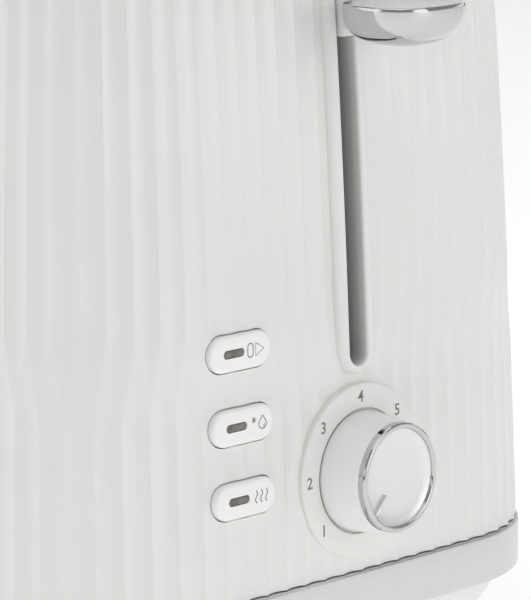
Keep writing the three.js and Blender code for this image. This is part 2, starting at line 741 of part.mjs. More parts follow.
// ---------------------------------------------------------------- dial, buttons and the board behind them
function buildDial() {
  const bore = spindleRadius + gap;
  const recessRadius = dialBackRadius + dialRecessSpace;
  const recessFloor = dialScaleThickness - dialRecess;
  add('dial_scale', turnedAlongX([[bore, 0], [dialScaleRadius, 0],
    [dialScaleRadius, dialScaleThickness - dialScaleRim],
    [dialScaleRadius - dialScaleRim, dialScaleThickness], [recessRadius, dialScaleThickness],
    [recessRadius, recessFloor], [bore, recessFloor], [bore, 0]],
  dialFace - dialScaleThickness, 0, dialHeight, 40), whitePlastic);

  const lipBack = dialLength - dialLip;
  const boreDepth = lipBack - 1.5;
  const dialAxis = [dialBack, 0, dialHeight];
  add('dial_knob', turnedAlongX([[0, boreDepth], [bore, boreDepth], [bore, 0], [dialBackRadius, 0],
    [dialFrontRadius, lipBack], [0, lipBack]], ...dialAxis), whitePlastic);
  const capRadius = dialFrontRadius - dialLip - gap;
  const lipStart = lipBack + gap;
  add('dial_ring', turnedAlongX([[dialFrontRadius - dialLip, lipStart], [dialFrontRadius, lipStart],
    [dialFrontRadius - 0.3, dialLength], [dialFrontRadius - dialLip + 0.4, dialLength],
    [dialFrontRadius - dialLip, lipStart]], ...dialAxis), chrome);
  const dish = turnedAlongX([[0, lipStart], [capRadius, lipStart], [capRadius, dialLength - 0.6],
    [0, dialLength - 1]], ...dialAxis);
  const pointer = box(dialBack + lipStart, dialBack + dialLength - 0.4, pointerStart, pointerEnd,
    -pointerHalf, pointerHalf)
    .applyMatrix4(new THREE.Matrix4().makeRotationX(THREE.MathUtils.degToRad(pointerAngle)))
    .translate(0, 0, dialHeight);
  add('dial_cap', join(dish, pointer), satinSilver);
  add('dial_spindle', lengthwise(0, dialHeight, spindleRadius, controlFront + gap,
    dialBack + boreDepth - gap, 16), galvanised);
}

function buildButtons() {
  buttonNames.forEach((name, index) => {
    const z = buttonZ(index);
    const front = faceX(z, buttonSide) + buttonProud;
    const lensY = buttonSide + windowOffset;
    const cap = extrudedAlongX(pill(buttonSide, z, buttonWidth, buttonHeight), front - buttonDepth, front);
    const stem = box(controlFront, front - buttonDepth + stemInCap,
      buttonSide - stemHalf, buttonSide + stemHalf, z - stemHalf, z + stemHalf);
    const pocket = extrudedAlongX(pill(lensY, z, windowWidth + 2 * gap, windowHeight + 2 * gap),
      front - windowThickness - gap, front + 1);
    add(`button_${name}`, cut(join(cap, stem), pocket), whitePlastic);
    add(`window_${name}`, extrudedAlongX(pill(lensY, z, windowWidth, windowHeight),
      front - windowThickness, front), smokedWindow);
    add(`switch_${name}`, box(boardFront + gap, controlFront - buttonTravel - gap,
      buttonSide - switchHalf, buttonSide + switchHalf, z - switchHalf, z + switchHalf), darkPlastic);
  });

  const outline = new THREE.Shape();
  const lowEdge = dialHeight - boardBelowDial;
  const topEdge = buttonZ(2) + boardAboveButton;
  const underSlot = slotBottom - boardBelowSlot;
  const farSide = columnHalf + boardBesideColumn;
  outline.moveTo(buttonSide - boardBeyondButton, lowEdge);
  outline.lineTo(farSide, lowEdge);
  outline.lineTo(farSide, underSlot);
  outline.lineTo(buttonSide + boardInsideButton, underSlot);
  outline.lineTo(buttonSide + boardInsideButton, topEdge);
  outline.lineTo(buttonSide - boardBeyondButton, topEdge);
  add('control_board', extrudedAlongX(outline, boardFront - boardThickness, boardFront), boardGreen);
  add('rotary_control', box(boardFront + gap, controlFront, -controlHalf, controlHalf,
    dialHeight - controlHalf, dialHeight + controlHalf), darkPlastic);
}

buildCasing();
buildTopPlate();
buildFoot();
buildCarriage();
buildGuides();
buildChassis();
buildCage();
buildDial();
buildButtons();

// The lever reaches past the casing, so the casing stands a little behind the origin
const front = leverX + leverDepth / 2;
const rear = bodyLength / 2 + bandProud;
toaster.position.x = (rear - front) / 2;

const placed = new THREE.Group();
placed.add(toaster);
export default placed;
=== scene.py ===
import json
import math

import bmesh
import bpy
from mathutils import Matrix, Vector

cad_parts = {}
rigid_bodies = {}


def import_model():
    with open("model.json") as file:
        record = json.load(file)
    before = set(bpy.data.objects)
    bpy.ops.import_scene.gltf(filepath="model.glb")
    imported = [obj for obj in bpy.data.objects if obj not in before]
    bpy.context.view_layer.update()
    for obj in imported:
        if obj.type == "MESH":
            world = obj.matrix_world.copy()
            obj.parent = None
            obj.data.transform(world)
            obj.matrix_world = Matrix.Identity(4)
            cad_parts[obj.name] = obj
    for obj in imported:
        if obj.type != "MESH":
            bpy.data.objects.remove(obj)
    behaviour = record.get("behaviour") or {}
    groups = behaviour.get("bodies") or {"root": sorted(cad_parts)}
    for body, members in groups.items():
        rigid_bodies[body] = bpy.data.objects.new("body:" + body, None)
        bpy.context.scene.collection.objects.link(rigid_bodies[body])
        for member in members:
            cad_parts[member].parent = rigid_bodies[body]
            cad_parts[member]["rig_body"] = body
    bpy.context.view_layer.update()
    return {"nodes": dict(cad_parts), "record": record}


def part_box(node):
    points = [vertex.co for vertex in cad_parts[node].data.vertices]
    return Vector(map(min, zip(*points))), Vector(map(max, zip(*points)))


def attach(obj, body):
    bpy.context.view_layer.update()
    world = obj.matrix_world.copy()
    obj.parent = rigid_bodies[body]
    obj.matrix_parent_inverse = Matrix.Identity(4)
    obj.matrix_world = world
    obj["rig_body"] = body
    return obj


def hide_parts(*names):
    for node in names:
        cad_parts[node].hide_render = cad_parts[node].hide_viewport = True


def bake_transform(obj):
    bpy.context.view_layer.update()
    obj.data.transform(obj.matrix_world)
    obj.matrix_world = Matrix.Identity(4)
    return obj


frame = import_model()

MM = 0.001

# ---------------------------------------------------------------- measures taken from the frame
shell_low, shell_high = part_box("body_shell")
band_low, band_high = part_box("trim_band")
pan_low, pan_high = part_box("base_pan")
plate_low, plate_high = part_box("top_plate")
MIDDLE_X = (shell_low.x + shell_high.x) / 2
LENGTH = shell_high.x - shell_low.x
WIDTH = shell_high.y - shell_low.y
FOOT = shell_low.z
TOP = shell_high.z
GAP = 0.3 * MM

# The casing's form: rounded corners, slightly bowed ends, sides that lean in, a rounded shoulder
CORNER = 42.7 * MM
END_BOW = 1.45 * MM
SIDE_LEAN = 3.25 * MM
SIDE_CURVE = 0.6 * MM
SHOULDER_DROP = 23 * MM
SHOULDER_REACH = 20 * MM
WALL = 3.3 * MM
TOP_RIM = 2 * MM
FLUTES = 126
FLUTE_DEPTH = 0.85 * MM
PHASES = (0, 0.04, 0.13, 0.25, 0.37, 0.46, 0.5, 0.54, 0.63, 0.75, 0.87, 0.96)
CALM_REACH = 4 * MM
CALM_SHARE = 0.35
ZIGZAG_LOW = 77 * MM
ZIGZAG_HIGH = 97 * MM
SHOULDER = TOP - SHOULDER_DROP

TURN_UP = Matrix(((0, 0, 1), (1, 0, 0), (0, 1, 0))).to_4x4()


def side_inset(z):
    """How far the side stands in from the foot's outline at a height."""
    rise = (z - FOOT) / 0.1
    return SIDE_LEAN * rise + SIDE_CURVE * rise ** 3


TOP_INSET = side_inset(SHOULDER) + SHOULDER_REACH
OPENING_INSET = TOP_INSET + TOP_RIM


def bow(y):
    """How far the ends curve back from their middle."""
    return END_BOW * (y / (WIDTH / 2)) ** 2


def face_x(z, y=0.0):
    """Where the lever end's face stands at a height."""
    return MIDDLE_X + LENGTH / 2 - bow(y) - side_inset(z)


def outline(share, inset):
    """A point on the foot's outline, moved inwards. Share runs once round from the
    middle of the lever end towards +Y."""
    end = WIDTH / 2 - CORNER
    side = LENGTH / 2 - CORNER
    arc = CORNER * math.pi / 2
    quarter = end + arc + side
    distance = (share % 1) * 4 * quarter
    turn = int(distance // quarter) % 4
    along = distance - turn * quarter
    if turn % 2:
        along = quarter - along
    if along <= end:
        x, y = LENGTH / 2 - inset, along
    elif along <= end + arc:
        angle = (along - end) / CORNER
        x = side + (CORNER - inset) * math.cos(angle)
        y = end + (CORNER - inset) * math.sin(angle)
    else:
        x, y = side - (along - end - arc), WIDTH / 2 - inset
    x -= bow(y) * max(0.0, x) / (LENGTH / 2)
    if turn in (1, 2):
        x = -x
    if turn in (2, 3):
        y = -y
    return Vector((MIDDLE_X + x, y, 0))


# ---------------------------------------------------------------- materials
def new_finish(name, colour, roughness, metallic=0.0, coat=0.0):
    material = bpy.data.materials.new(name)
    material.use_nodes = True
    shader = material.node_tree.nodes["Principled BSDF"]
    shader.inputs["Base Color"].default_value = (*colour, 1)
    shader.inputs["Roughness"].default_value = roughness
    shader.inputs["Metallic"].default_value = metallic
    shader.inputs["Coat Weight"].default_value = coat
    shader.inputs["Coat Roughness"].default_value = 0.12
    return material, material.node_tree, shader


def placed_noise(tree, scale, stretch=(1, 1, 1), centre=(0, 0, 0), detail=3.0):
    """Noise on object coordinates, stretched along an axis by a small factor there."""
    where = tree.nodes.new("ShaderNodeTexCoord")
    mapping = tree.nodes.new("ShaderNodeMapping")
    mapping.inputs["Location"].default_value = [-c * s for c, s in zip(centre, stretch)]
    mapping.inputs["Scale"].default_value = stretch
    noise = tree.nodes.new("ShaderNodeTexNoise")
    noise.inputs["Scale"].default_value = scale
    noise.inputs["Detail"].default_value = detail
    tree.links.new(where.outputs["Object"], mapping.inputs["Vector"])
    tree.links.new(mapping.outputs["Vector"], noise.inputs["Vector"])
    return noise.outputs["Fac"]


def varied_colour(tree, shader, factor, low, high):
    ramp = tree.nodes.new("ShaderNodeValToRGB")
    ramp.color_ramp.elements[0].position = 0.3
    ramp.color_ramp.elements[0].color = (*low, 1)
    ramp.color_ramp.elements[1].position = 0.7
    ramp.color_ramp.elements[1].color = (*high, 1)
    tree.links.new(factor, ramp.inputs["Fac"])
    tree.links.new(ramp.outputs["Color"], shader.inputs["Base Color"])


def varied_roughness(tree, shader, factor, low, high):
    spread = tree.nodes.new("ShaderNodeMapRange")
    spread.inputs["From Min"].default_value = 0.25
    spread.inputs["From Max"].default_value = 0.75
    spread.inputs["To Min"].default_value = low
    spread.inputs["To Max"].default_value = high
    tree.links.new(factor, spread.inputs["Value"])
    tree.links.new(spread.outputs["Result"], shader.inputs["Roughness"])


def bumped(tree, shader, factor, strength, distance):
    bump = tree.nodes.new("ShaderNodeBump")
    bump.inputs["Strength"].default_value = strength
    bump.inputs["Distance"].default_value = distance
    tree.links.new(factor, bump.inputs["Height"])
    tree.links.new(bump.outputs["Normal"], shader.inputs["Normal"])


def moulded_plastic(name, colour, roughness, coat, grain=0.1):
    """Injection moulded plastic: faint flow marks in the colour and a fine skin."""
    material, tree, shader = new_finish(name, colour, roughness, coat=coat)
    flow = placed_noise(tree, 22)
    low = [c * 0.975 for c in colour]
    high = [min(1.0, c * 1.015) for c in colour]
    varied_colour(tree, shader, flow, low, high)
    varied_roughness(tree, shader, placed_noise(tree, 60), roughness * 0.85, roughness * 1.2)
    bumped(tree, shader, placed_noise(tree, 2600, detail=2.0), grain, 0.03 * MM)
    return material


def brushed_metal(name, colour, roughness, stretch, scale=900, depth=0.15, bump=0.02):
    """Metal with fine parallel scratches, drawn out where the stretch is small."""
    material, tree, shader = new_finish(name, colour, roughness, metallic=1.0)
    scratches = placed_noise(tree, scale, stretch)
    low = [c * (1 - depth) for c in colour]
    high = [min(1.0, c * (1 + depth * 0.5)) for c in colour]
    varied_colour(tree, shader, scratches, low, high)
    varied_roughness(tree, shader, scratches, roughness * 0.75, roughness * 1.3)
    bumped(tree, shader, scratches, 0.3, bump * MM)
    return material


def spun_metal(name, colour, roughness, centre):
    """Metal turned on a lathe: rings about an axis along X through the centre."""
    material, tree, shader = new_finish(name, colour, roughness, metallic=1.0)
    where = tree.nodes.new("ShaderNodeTexCoord")
    mapping = tree.nodes.new("ShaderNodeMapping")
    mapping.inputs["Location"].default_value = (0, -centre[1], -centre[2])
    mapping.inputs["Scale"].default_value = (0, 1, 1)
    radius = tree.nodes.new("ShaderNodeVectorMath")
    radius.operation = "LENGTH"
    rings = tree.nodes.new("ShaderNodeTexNoise")
    rings.noise_dimensions = "1D"
    rings.inputs["Scale"].default_value = 4200
    rings.inputs["Detail"].default_value = 2.0
    tree.links.new(where.outputs["Object"], mapping.inputs["Vector"])
    tree.links.new(mapping.outputs["Vector"], radius.inputs[0])
    tree.links.new(radius.outputs["Value"], rings.inputs["W"])
    low = [c * 0.97 for c in colour]
    high = [min(1.0, c * 1.02) for c in colour]
    varied_colour(tree, shader, rings.outputs["Fac"], low, high)
    varied_roughness(tree, shader, rings.outputs["Fac"], roughness * 0.8, roughness * 1.25)
    bumped(tree, shader, rings.outputs["Fac"], 0.2, 0.008 * MM)
    return material


def polished_chrome(name):
    material, tree, shader = new_finish(name, (0.57, 0.575, 0.58), 0.07, metallic=1.0)
    haze = placed_noise(tree, 90)
    varied_roughness(tree, shader, haze, 0.04, 0.09)
    bumped(tree, shader, placed_noise(tree, 120, detail=1.0), 0.05, 0.02 * MM)
    return material


def mica_board(name):
    material, tree, shader = new_finish(name, (0.45, 0.33, 0.2), 0.55)
    flakes = tree.nodes.new("ShaderNodeTexVoronoi")
    flakes.inputs["Scale"].default_value = 220
    where = tree.nodes.new("ShaderNodeTexCoord")
    tree.links.new(where.outputs["Object"], flakes.inputs["Vector"])
    varied_colour(tree, shader, flakes.outputs["Distance"], (0.3, 0.2, 0.11), (0.56, 0.42, 0.26))
    bumped(tree, shader, flakes.outputs["Distance"], 0.4, 0.1 * MM)
    return material


def wound_copper(name):
    material, tree, shader = new_finish(name, (0.62, 0.26, 0.12), 0.3, metallic=1.0)
    where = tree.nodes.new("ShaderNodeTexCoord")
    turns = tree.nodes.new("ShaderNodeTexWave")
    turns.bands_direction = "Z"
    turns.inputs["Scale"].default_value = 900
    tree.links.new(where.outputs["Object"], turns.inputs["Vector"])
    varied_colour(tree, shader, turns.outputs["Fac"], (0.32, 0.11, 0.05), (0.66, 0.3, 0.14))
    bumped(tree, shader, turns.outputs["Fac"], 0.6, 0.15 * MM)
    return material


def smoked_window(name):
    material, tree, shader = new_finish(name, (0.2, 0.185, 0.17), 0.18, coat=0.5)
    cloud = placed_noise(tree, 420)
    varied_colour(tree, shader, cloud, (0.08, 0.072, 0.064), (0.17, 0.158, 0.145))
    return material


def printed_ink(name):
    material, tree, shader = new_finish(name, (0.3, 0.3, 0.29), 0.5)
    varied_colour(tree, shader, placed_noise(tree, 1500), (0.16, 0.16, 0.155), (0.25, 0.25, 0.245))
    return material


def slot_lining_finish(name):
    """Painted shade for the lever slot: a grey that darkens with depth into the slot, standing in for the
    shade inside it.
    """
    material, tree, shader = new_finish(name, (0.3, 0.29, 0.28), 0.55)
    where = tree.nodes.new("ShaderNodeTexCoord")
    along = tree.nodes.new("ShaderNodeVectorMath")
    along.operation = "DOT_PRODUCT"
    slope = (side_inset(SLOT_TOP) - side_inset(SLOT_FOOT)) / (SLOT_TOP - SLOT_FOOT)
    along.inputs[1].default_value = (1, 0, slope)
    depth = tree.nodes.new("ShaderNodeMapRange")
    mouth = face_x(SLOT_FOOT) + slope * SLOT_FOOT
    depth.inputs["From Min"].default_value = mouth
    depth.inputs["From Max"].default_value = mouth - 9 * MM
    tree.links.new(where.outputs["Object"], along.inputs[0])
    tree.links.new(along.outputs["Value"], depth.inputs["Value"])
    ramp = tree.nodes.new("ShaderNodeValToRGB")
    # painted shade: light grey at the slot's mouth, darker grey deeper in
    shades = ((0.0, 0.75), (0.15, 0.6), (0.5, 0.42), (0.8, 0.3), (1.0, 0.2))
    while len(ramp.color_ramp.elements) < len(shades):
        ramp.color_ramp.elements.new(0.5)
    for element, (position, shade) in zip(ramp.color_ramp.elements, shades):
        element.position = position
        element.color = (shade, shade * 0.985, shade * 0.96, 1)
    tree.links.new(depth.outputs["Result"], ramp.inputs["Fac"])
    tree.links.new(ramp.outputs["Color"], shader.inputs["Base Color"])
    varied_roughness(tree, shader, placed_noise(tree, 300), 0.5, 0.65)
    return material


SLOT_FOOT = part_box("lever_surround")[0].z
SLOT_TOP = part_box("lever_surround")[1].z
dial_low, dial_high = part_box("dial_cap")
DIAL_CENTRE = Vector((0, (dial_low.y + dial_high.y) / 2, (dial_low.z + dial_high.z) / 2))

FINISHES = {
    "casing_white": moulded_plastic("casing_white", (0.8, 0.795, 0.78), 0.33, 0.25),
    # knob_white is the knob's own white, raised above casing_white as painted light to make up for light
    # the knob's shaded side lacks
    "knob_white": moulded_plastic("knob_white", (0.9, 0.895, 0.885), 0.3, 0.3, grain=0.06),
    "base_white": moulded_plastic("base_white", (0.84, 0.84, 0.835), 0.4, 0.1),
    "brushed_top": brushed_metal("brushed_top", (0.66, 0.66, 0.65), 0.3, (0.03, 1, 1)),
    "satin_band": brushed_metal("satin_band", (0.68, 0.68, 0.68), 0.34, (0.1, 0.1, 1),
                                scale=2600, depth=0.04, bump=0.003),
    "chrome": polished_chrome("chrome"),
    "lever_grey": moulded_plastic("lever_grey", (0.74, 0.74, 0.73), 0.4, 0.1),
    "spun_cap": spun_metal("spun_cap", (0.77, 0.77, 0.765), 0.4, DIAL_CENTRE),
    "zinc_steel": brushed_metal("zinc_steel", (0.55, 0.56, 0.57), 0.42, (1, 1, 1), scale=240),
    "reflector_steel": brushed_metal("reflector_steel", (0.64, 0.64, 0.63), 0.28, (1, 1, 0.05)),
    "guard_wire": brushed_metal("guard_wire", (0.6, 0.6, 0.59), 0.3, (1, 1, 0.04)),
    "mica": mica_board("mica"),
    "resistance_wire": brushed_metal("resistance_wire", (0.24, 0.21, 0.19), 0.5, (0.05, 1, 1)),
    "copper_wire": wound_copper("copper_wire"),
    "smoked_window": smoked_window("smoked_window"),
    "dark_plastic": moulded_plastic("dark_plastic", (0.03, 0.03, 0.032), 0.5, 0.0, grain=0.3),
    "board_green": moulded_plastic("board_green", (0.03, 0.16, 0.07), 0.4, 0.4),
    "foot_rubber": moulded_plastic("foot_rubber", (0.24, 0.24, 0.24), 0.8, 0.0, grain=0.5),
}
INK = printed_ink("printed_ink")
# painted shade for the inside of the lever slot
PAINTED_SLOT_SHADE = slot_lining_finish("slot_lining")


# ---------------------------------------------------------------- making meshes
def finished(bm, name, finish, sharp=35.0):
    """The bmesh as a smooth shaded object with its material, at the origin."""
    mesh = bpy.data.meshes.new(name)
    bm.to_mesh(mesh)
    bm.free()
    mesh.materials.append(finish)
    mesh.shade_smooth()
    if sharp < 180:
        mesh.set_sharp_from_angle(angle=math.radians(sharp))
    piece = bpy.data.objects.new(name, mesh)
    bpy.context.scene.collection.objects.link(piece)
    return piece


def skin(columns, rows, place, closed_across=False):
    """A sheet of columns by rows faces, wrapped round so that its first and last
    columns meet. place(column, row) gives each corner."""
    bm = bmesh.new()
    bmesh.ops.create_grid(bm, x_segments=columns, y_segments=rows, size=0.5)
    for vertex in bm.verts:
        column = round((vertex.co.x + 0.5) * columns) % columns
        row = round((vertex.co.y + 0.5) * rows)
        if closed_across:
            row %= rows
        vertex.co = place(column, row)
    bmesh.ops.remove_doubles(bm, verts=bm.verts, dist=1e-6)
    bmesh.ops.dissolve_degenerate(bm, edges=bm.edges, dist=1e-7)
    bmesh.ops.recalc_face_normals(bm, faces=bm.faces)
    return bm


def filleted(points, radii, steps=5):
    """An outline of (x, y) points with its corners rounded to the radii."""
    rounded = []
    for i, (point, radius) in enumerate(zip(points, radii)):
        corner = Vector(point)
        if not radius:
            rounded.append(corner)
            continue
        before = (Vector(points[i - 1]) - corner).normalized()
        after = (Vector(points[(i + 1) % len(points)]) - corner).normalized()
        half = before.angle(after) / 2
        reach = radius / math.tan(half)
        centre = corner + (before + after).normalized() * radius / math.sin(half)
        start = corner + before * reach - centre
        sweep = math.pi - 2 * half
        sign = 1 if before.cross(after) < 0 else -1
        for step in range(steps + 1):
            turn = Matrix.Rotation(sign * sweep * step / steps, 2)
            rounded.append(centre + turn @ start)
    return rounded


def turned(profile, radii, centre, steps=96, fillet_steps=5):
    """A profile of (radius, distance) points, turned about an axis along X."""
    bm = bmesh.new()
    points = filleted([(r, d) for r, d in profile], radii, fillet_steps)
    corners = [bm.verts.new((p.y, p.x, 0)) for p in points]
    edges = [bm.edges.new(pair) for pair in zip(corners, corners[1:])]
    bmesh.ops.spin(bm, geom=corners + edges, cent=(0, 0, 0), axis=(1, 0, 0),
                   angle=2 * math.pi, steps=steps, use_merge=True, use_duplicate=False)
    bmesh.ops.remove_doubles(bm, verts=bm.verts, dist=1e-6)
    bmesh.ops.recalc_face_normals(bm, faces=bm.faces)
    bmesh.ops.translate(bm, verts=bm.verts, vec=centre)
    return bm


def block(low, high, bevel=0.0, segments=3):
    """A box between two corners with its edges rounded."""
    bm = bmesh.new()
    bmesh.ops.create_cube(bm, size=1)
    low, high = Vector(low), Vector(high)
    bmesh.ops.scale(bm, verts=bm.verts, vec=high - low)
    bmesh.ops.translate(bm, verts=bm.verts, vec=(low + high) / 2)
    if bevel:
        bmesh.ops.bevel(bm, geom=bm.edges[:], offset=bevel, segments=segments, profile=0.5,
                        affect="EDGES", material=-1)
    return bm


def pill(centre_y, centre_z, width, height, x0, x1, bevel=0.0, segments=5):
    """A plate with straight sides and round ends, from x0 to x1, its front rim rounded."""
    bm = bmesh.new()
    sides = 64
    bmesh.ops.create_circle(bm, cap_ends=True, segments=sides, radius=min(width, height) / 2)
    bmesh.ops.rotate(bm, verts=bm.verts, cent=(0, 0, 0), matrix=Matrix.Rotation(math.pi / sides, 3, "Z"))
    for vertex in bm.verts:
        vertex.co.x += math.copysign(max(0, (width - height) / 2), vertex.co.x)
        vertex.co.y += math.copysign(max(0, (height - width) / 2), vertex.co.y)
    made = bmesh.ops.extrude_face_region(bm, geom=bm.faces[:])["geom"]
    front = [part for part in made if isinstance(part, bmesh.types.BMVert)]
    bmesh.ops.translate(bm, verts=front, vec=(0, 0, x1 - x0))
    bmesh.ops.transform(bm, matrix=Matrix.Translation((x0, centre_y, centre_z)) @ TURN_UP, verts=bm.verts)
    if bevel:
        rim = [edge for edge in bm.edges if all(abs(v.co.x - x1) < 1e-7 for v in edge.verts)]
        bmesh.ops.bevel(bm, geom=rim, offset=bevel, segments=segments, profile=0.5,
                        affect="EDGES", material=-1)
    bmesh.ops.recalc_face_normals(bm, faces=bm.faces)
    return bm


def merged(*parts):
    """Several bmeshes as one."""
    whole = bmesh.new()
    for part in parts:
        mesh = bpy.data.meshes.new("part")
        part.to_mesh(mesh)
        part.free()
        whole.from_mesh(mesh)
        bpy.data.meshes.remove(mesh)
    return whole


def carve(piece, cutter_bm, sharp=35.0):
    """Cuts the cutter's solids out of the piece."""
    cutter = finished(cutter_bm, piece.name + "_cutter", INK)
    modifier = piece.modifiers.new("cut", "BOOLEAN")
    modifier.operation = "DIFFERENCE"
    modifier.solver = "EXACT"
    modifier.object = cutter
    bpy.context.view_layer.update()
    evaluated = piece.evaluated_get(bpy.context.evaluated_depsgraph_get())
    mesh = bpy.data.meshes.new_from_object(evaluated)
    finish = piece.data.materials[0]
    piece.modifiers.clear()
    piece.data = mesh
    mesh.materials.clear()
    mesh.materials.append(finish)
    mesh.polygons.foreach_set("material_index", [0] * len(mesh.polygons))
    mesh.shade_smooth()
    mesh.set_sharp_from_angle(angle=math.radians(sharp))
    bpy.data.objects.remove(cutter)
    return piece


def stand_in(piece, node):
    """Puts a piece in a CAD node's place: hides the node and gives the piece the node's body."""
    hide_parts(node)
    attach(piece, frame["nodes"][node]["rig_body"])
    return piece


def belongs(piece, body):
    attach(piece, body)
    return piece


# ---------------------------------------------------------------- casing
def flute_cut(column, z):
    """How deep the flutes are cut. Below the zigzag the ridges stand on whole flutes,
    above it half a flute along, and between them each ridge splits into a V."""
    phase = PHASES[column % len(PHASES)]
    shifted = (phase + 0.5) % 1
    climb = min(1.0, max(0.0, (z - ZIGZAG_LOW) / (ZIGZAG_HIGH - ZIGZAG_LOW)))
    lower = 4 * phase * (1 - phase) - climb
    upper = 4 * shifted * (1 - shifted) - (1 - climb)
    return FLUTE_DEPTH * max(lower, upper)


def casing_profile():
    """(height, inset, share of the flutes' depth) up the outside and back down inside."""
    heights = [FOOT] + [z * MM for z in range(32, 76, 2)]
    zigzag_rows = 12
    heights += [ZIGZAG_LOW + (ZIGZAG_HIGH - ZIGZAG_LOW) * i / zigzag_rows for i in range(zigzag_rows + 1)]
    heights += [104 * MM, 118 * MM, 132 * MM, 146 * MM, 160 * MM]
    profile = [(z, side_inset(z), 1.0) for z in heights]
    steps = 10
    for step in range(steps + 1):
        angle = step / steps * math.pi / 2
        fade = 1.0 if step < 5 else math.cos((step - 5) / (steps - 5) * math.pi / 2)
        profile.append((SHOULDER + SHOULDER_DROP * math.sin(angle),
                        TOP_INSET - SHOULDER_REACH * math.cos(angle), fade))
    profile.append((TOP - 0.1 * MM, OPENING_INSET - 0.4 * MM, 0.0))
    profile.append((TOP - 0.5 * MM, OPENING_INSET, 0.0))
    profile.append((TOP - 4 * MM, OPENING_INSET, 0.0))
    for step in (7, 4, 0):
        angle = step / steps * math.pi / 2
        profile.append((SHOULDER + (SHOULDER_DROP - WALL) * math.sin(angle),
                        TOP_INSET - (SHOULDER_REACH - WALL) * math.cos(angle), 0.0))
    profile.append((ZIGZAG_HIGH, side_inset(ZIGZAG_HIGH) + WALL, 0.0))
    profile.append((FOOT, WALL, 0.0))
    return profile


def surround_outline():
    """Low end, high end and half width of the lever surround, in Y and Z."""
    low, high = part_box("lever_surround")
    return low.z, high.z, high.y


def make_casing():
    profile = casing_profile()
    shares = [(flute + phase) / FLUTES for flute in range(FLUTES) for phase in PHASES]
    columns = len(shares)
    on_foot = [outline(share, 0) for share in shares]
    inwards = [outline(share, 1 * MM) - point for share, point in zip(shares, on_foot)]

    disc_low, disc_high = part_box("dial_scale")
    pads = [((disc_low + disc_high) / 2, (disc_high.z - disc_low.z) / 2, 0.0)]
    for name in BUTTONS:
        b_low, b_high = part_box("button_" + name)
        half = (b_high.z - b_low.z) / 2
        pads.append(((b_low + b_high) / 2, half, (b_high.y - b_low.y) / 2 - half))

    def calm(point, z):
        """The flutes run out shallow just round the dial and the buttons."""
        if point.x < MIDDLE_X + LENGTH / 2 - 8 * MM:
            return 1.0
        share = 1.0
        for centre, radius, straight in pads:
            across = max(0.0, abs(point.y - centre.y) - straight)
            clear = (math.hypot(across, z - centre.z) - radius) / CALM_REACH
            step = min(1.0, max(0.0, clear))
            share = min(share, CALM_SHARE + (1 - CALM_SHARE) * step * step * (3 - 2 * step))
        return share

    def place(column, row):
        z, inset, fluted = profile[row]
        point = on_foot[column]
        depth = inset
        if fluted:
            depth += fluted * flute_cut(column, z) * calm(point, z)
        point = point + inwards[column] * (depth / MM)
        point.z = z
        return point

    casing = finished(skin(columns, len(profile), place, closed_across=True), "casing",
                      FINISHES["casing_white"], sharp=180)
    low, high, half = surround_outline()
    behind = MIDDLE_X + LENGTH / 2 - 16 * MM
    ahead = MIDDLE_X + LENGTH / 2 + 6 * MM
    inside = 1.5 * MM
    holes = [pill(0, (low + high) / 2, 2 * (half - inside), high - low - 2 * inside, behind, ahead)]
    disc = disc_high.y - disc_low.y - 2 * inside
    holes.append(pill(0, (disc_low.z + disc_high.z) / 2, disc, disc, behind, ahead))
    for name in BUTTONS:
        b_low, b_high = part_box("button_" + name)
        holes.append(pill((b_low.y + b_high.y) / 2, (b_low.z + b_high.z) / 2,
                          b_high.y - b_low.y + 2 * GAP, b_high.z - b_low.z + 2 * GAP,
                          behind, ahead))
    carve(casing, merged(*holes), sharp=45.0)
    stand_in(casing, "body_shell")


